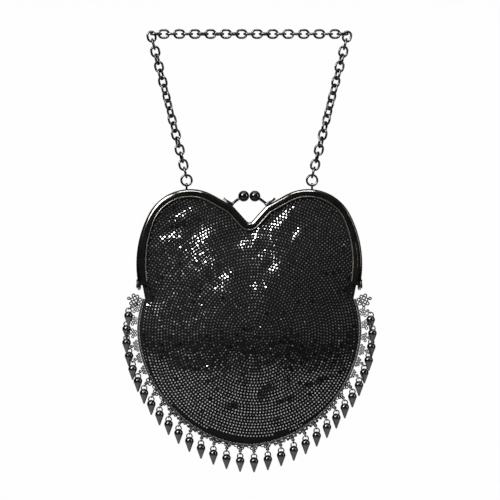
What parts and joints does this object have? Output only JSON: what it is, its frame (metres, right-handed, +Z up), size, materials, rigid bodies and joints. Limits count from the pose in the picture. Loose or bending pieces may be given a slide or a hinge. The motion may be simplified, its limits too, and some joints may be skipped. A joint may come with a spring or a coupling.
{
  "type": "evening handbag",
  "caption": "Heart-topped evening handbag with a hinged metal frame, kiss-lock clasp, studded pouch, spike-drop fringe and short chain handle.",
  "frame": {"origin": "middle of the chain handle's top run, where the bag hangs", "axes": "+Z up, +X to the viewer's right, the bag's front faces -Y"},
  "size_m": [0.2034, 0.032, 0.3547],
  "materials": {
    "chain": "glossy black plating",
    "frame": "glossy black plating",
    "clasp": "glossy black plating",
    "lace": "glossy black plating",
    "drops": "glossy black plating",
    "studded_cloth": "black cloth set with small round mirror-like studs",
    "lining": "black satin",
    "cord": "twisted black cord",
    "piping": "black satin piping"
  },
  "bodies": {
    "handle_top": {"handle_top_links": "chain"},
    "handle_sides": {"handle_left_links": "chain", "handle_right_links": "chain"},
    "rings": {"ring_left": "chain", "ring_right": "chain"},
    "bag": {"back_frame": "frame", "ring_lug_left": "frame", "ring_lug_right": "frame", "hinge_rivet_left": "frame", "hinge_rivet_right": "frame", "clasp_arm_back": "clasp", "clasp_ball_back": "clasp", "channel_cord_back": "cord", "pouch_back": "studded_cloth", "pouch_front_lower": "studded_cloth", "pouch_front_band": "studded_cloth", "lining_back": "lining", "lining_front_lower": "lining", "seam_piping": "piping", "fringe_lace": "lace", "fringe_connectors": "lace"},
    "front_frame": {"front_frame": "frame", "clasp_arm_front": "clasp", "clasp_ball_front": "clasp", "channel_cord_front": "cord", "pouch_front_upper": "studded_cloth", "lining_front_upper": "lining"},
    "spike_01": {"spike_01": "drops"},
    "spike_02": {"spike_02": "drops"},
    "spike_03": {"spike_03": "drops"},
    "spike_04": {"spike_04": "drops"},
    "spike_05": {"spike_05": "drops"},
    "spike_06": {"spike_06": "drops"},
    "spike_07": {"spike_07": "drops"},
    "spike_08": {"spike_08": "drops"},
    "spike_09": {"spike_09": "drops"},
    "spike_10": {"spike_10": "drops"},
    "spike_11": {"spike_11": "drops"},
    "spike_12": {"spike_12": "drops"},
    "spike_13": {"spike_13": "drops"},
    "spike_14": {"spike_14": "drops"},
    "spike_15": {"spike_15": "drops"},
    "spike_16": {"spike_16": "drops"},
    "spike_17": {"spike_17": "drops"},
    "spike_18": {"spike_18": "drops"},
    "spike_19": {"spike_19": "drops"},
    "spike_20": {"spike_20": "drops"},
    "spike_21": {"spike_21": "drops"},
    "spike_22": {"spike_22": "drops"},
    "spike_23": {"spike_23": "drops"},
    "spike_24": {"spike_24": "drops"},
    "spike_25": {"spike_25": "drops"},
    "spike_26": {"spike_26": "drops"},
    "spike_27": {"spike_27": "drops"},
    "spike_28": {"spike_28": "drops"},
    "spike_29": {"spike_29": "drops"},
    "spike_30": {"spike_30": "drops"},
    "spike_31": {"spike_31": "drops"},
    "spike_32": {"spike_32": "drops"}
  },
  "joints": [
    {"name": "handle_swing", "type": "hinge", "parent": "handle_top", "child": "handle_sides", "pos_m": [0, 0, 0.00187], "axis": [1, 0, 0], "range_deg": [-28, 28]},
    {"name": "ring_swing", "type": "hinge", "parent": "handle_sides", "child": "rings", "pos_m": [0, 0, -0.11281], "axis": [1, 0, 0], "range_deg": [-35, 35]},
    {"name": "bag_swing", "type": "hinge", "parent": "rings", "child": "bag", "pos_m": [0, 0, -0.12121], "axis": [1, 0, 0], "range_deg": [-35, 35]},
    {"name": "frame_open", "type": "hinge", "parent": "bag", "child": "front_frame", "pos_m": [0, 0, -0.20169], "axis": [1, 0, 0], "range_deg": [0, 60], "deforming": ["pouch_front_band"]},
    {"name": "spike_01_swing", "type": "hinge", "parent": "bag", "child": "spike_01", "pos_m": [-0.09649, -0.0023, -0.21932], "axis": [1, 0, 0], "range_deg": [-35, 0]},
    {"name": "spike_02_swing", "type": "hinge", "parent": "bag", "child": "spike_02", "pos_m": [-0.09816, 0.0023, -0.23003], "axis": [1, 0, 0], "range_deg": [0, 35]},
    {"name": "spike_03_swing", "type": "hinge", "parent": "bag", "child": "spike_03", "pos_m": [-0.09807, -0.0023, -0.24089], "axis": [1, 0, 0], "range_deg": [-35, 0]},
    {"name": "spike_04_swing", "type": "hinge", "parent": "bag", "child": "spike_04", "pos_m": [-0.09626, 0.0023, -0.25158], "axis": [1, 0, 0], "range_deg": [0, 35]},
    {"name": "spike_05_swing", "type": "hinge", "parent": "bag", "child": "spike_05", "pos_m": [-0.09323, -0.0023, -0.26193], "axis": [1, 0, 0], "range_deg": [-35, 0]},
    {"name": "spike_06_swing", "type": "hinge", "parent": "bag", "child": "spike_06", "pos_m": [-0.08916, 0.0023, -0.27183], "axis": [1, 0, 0], "range_deg": [0, 35]},
    {"name": "spike_07_swing", "type": "hinge", "parent": "bag", "child": "spike_07", "pos_m": [-0.08419, 0, -0.28125], "axis": [1, 0, 0], "range_deg": [-35, 35]},
    {"name": "spike_08_swing", "type": "hinge", "parent": "bag", "child": "spike_08", "pos_m": [-0.07839, 0, -0.29014], "axis": [1, 0, 0], "range_deg": [-35, 35]},
    {"name": "spike_09_swing", "type": "hinge", "parent": "bag", "child": "spike_09", "pos_m": [-0.07184, 0, -0.29846], "axis": [1, 0, 0], "range_deg": [-35, 35]},
    {"name": "spike_10_swing", "type": "hinge", "parent": "bag", "child": "spike_10", "pos_m": [-0.06456, 0, -0.30619], "axis": [1, 0, 0], "range_deg": [-35, 35]},
    {"name": "spike_11_swing", "type": "hinge", "parent": "bag", "child": "spike_11", "pos_m": [-0.05659, 0, -0.31327], "axis": [1, 0, 0], "range_deg": [-35, 35]},
    {"name": "spike_12_swing", "type": "hinge", "parent": "bag", "child": "spike_12", "pos_m": [-0.04794, 0, -0.31965], "axis": [1, 0, 0], "range_deg": [-35, 35]},
    {"name": "spike_13_swing", "type": "hinge", "parent": "bag", "child": "spike_13", "pos_m": [-0.03864, 0, -0.32521], "axis": [1, 0, 0], "range_deg": [-35, 35]},
    {"name": "spike_14_swing", "type": "hinge", "parent": "bag", "child": "spike_14", "pos_m": [-0.02873, 0, -0.32986], "axis": [1, 0, 0], "range_deg": [-35, 35]},
    {"name": "spike_15_swing", "type": "hinge", "parent": "bag", "child": "spike_15", "pos_m": [-0.01825, 0, -0.3334], "axis": [1, 0, 0], "range_deg": [-35, 35]},
    {"name": "spike_16_swing", "type": "hinge", "parent": "bag", "child": "spike_16", "pos_m": [-0.00734, 0, -0.33562], "axis": [1, 0, 0], "range_deg": [-35, 35]},
    {"name": "spike_17_swing", "type": "hinge", "parent": "bag", "child": "spike_17", "pos_m": [0.00382, 0, -0.33598], "axis": [1, 0, 0], "range_deg": [-35, 35]},
    {"name": "spike_18_swing", "type": "hinge", "parent": "bag", "child": "spike_18", "pos_m": [0.01485, 0, -0.33426], "axis": [1, 0, 0], "range_deg": [-35, 35]},
    {"name": "spike_19_swing", "type": "hinge", "parent": "bag", "child": "spike_19", "pos_m": [0.02548, 0, -0.3311], "axis": [1, 0, 0], "range_deg": [-35, 35]},
    {"name": "spike_20_swing", "type": "hinge", "parent": "bag", "child": "spike_20", "pos_m": [0.03558, 0, -0.32679], "axis": [1, 0, 0], "range_deg": [-35, 35]},
    {"name": "spike_21_swing", "type": "hinge", "parent": "bag", "child": "spike_21", "pos_m": [0.04507, 0, -0.3215], "axis": [1, 0, 0], "range_deg": [-35, 35]},
    {"name": "spike_22_swing", "type": "hinge", "parent": "bag", "child": "spike_22", "pos_m": [0.05393, 0, -0.31537], "axis": [1, 0, 0], "range_deg": [-35, 35]},
    {"name": "spike_23_swing", "type": "hinge", "parent": "bag", "child": "spike_23", "pos_m": [0.06212, 0, -0.3085], "axis": [1, 0, 0], "range_deg": [-35, 35]},
    {"name": "spike_24_swing", "type": "hinge", "parent": "bag", "child": "spike_24", "pos_m": [0.06961, 0, -0.30097], "axis": [1, 0, 0], "range_deg": [-35, 35]},
    {"name": "spike_25_swing", "type": "hinge", "parent": "bag", "child": "spike_25", "pos_m": [0.0764, 0, -0.29283], "axis": [1, 0, 0], "range_deg": [-35, 35]},
    {"name": "spike_26_swing", "type": "hinge", "parent": "bag", "child": "spike_26", "pos_m": [0.08244, 0, -0.28411], "axis": [1, 0, 0], "range_deg": [-35, 35]},
    {"name": "spike_27_swing", "type": "hinge", "parent": "bag", "child": "spike_27", "pos_m": [0.08768, -0.0023, -0.27486], "axis": [1, 0, 0], "range_deg": [-35, 0]},
    {"name": "spike_28_swing", "type": "hinge", "parent": "bag", "child": "spike_28", "pos_m": [0.09205, 0.0023, -0.2651], "axis": [1, 0, 0], "range_deg": [0, 35]},
    {"name": "spike_29_swing", "type": "hinge", "parent": "bag", "child": "spike_29", "pos_m": [0.09542, -0.0023, -0.25489], "axis": [1, 0, 0], "range_deg": [-35, 0]},
    {"name": "spike_30_swing", "type": "hinge", "parent": "bag", "child": "spike_30", "pos_m": [0.09765, 0.0023, -0.2443], "axis": [1, 0, 0], "range_deg": [0, 35]},
    {"name": "spike_31_swing", "type": "hinge", "parent": "bag", "child": "spike_31", "pos_m": [0.09837, -0.0023, -0.23346], "axis": [1, 0, 0], "range_deg": [-35, 0]},
    {"name": "spike_32_swing", "type": "hinge", "parent": "bag", "child": "spike_32", "pos_m": [0.09717, 0.0023, -0.22267], "axis": [1, 0, 0], "range_deg": [0, 35]}
  ]
}
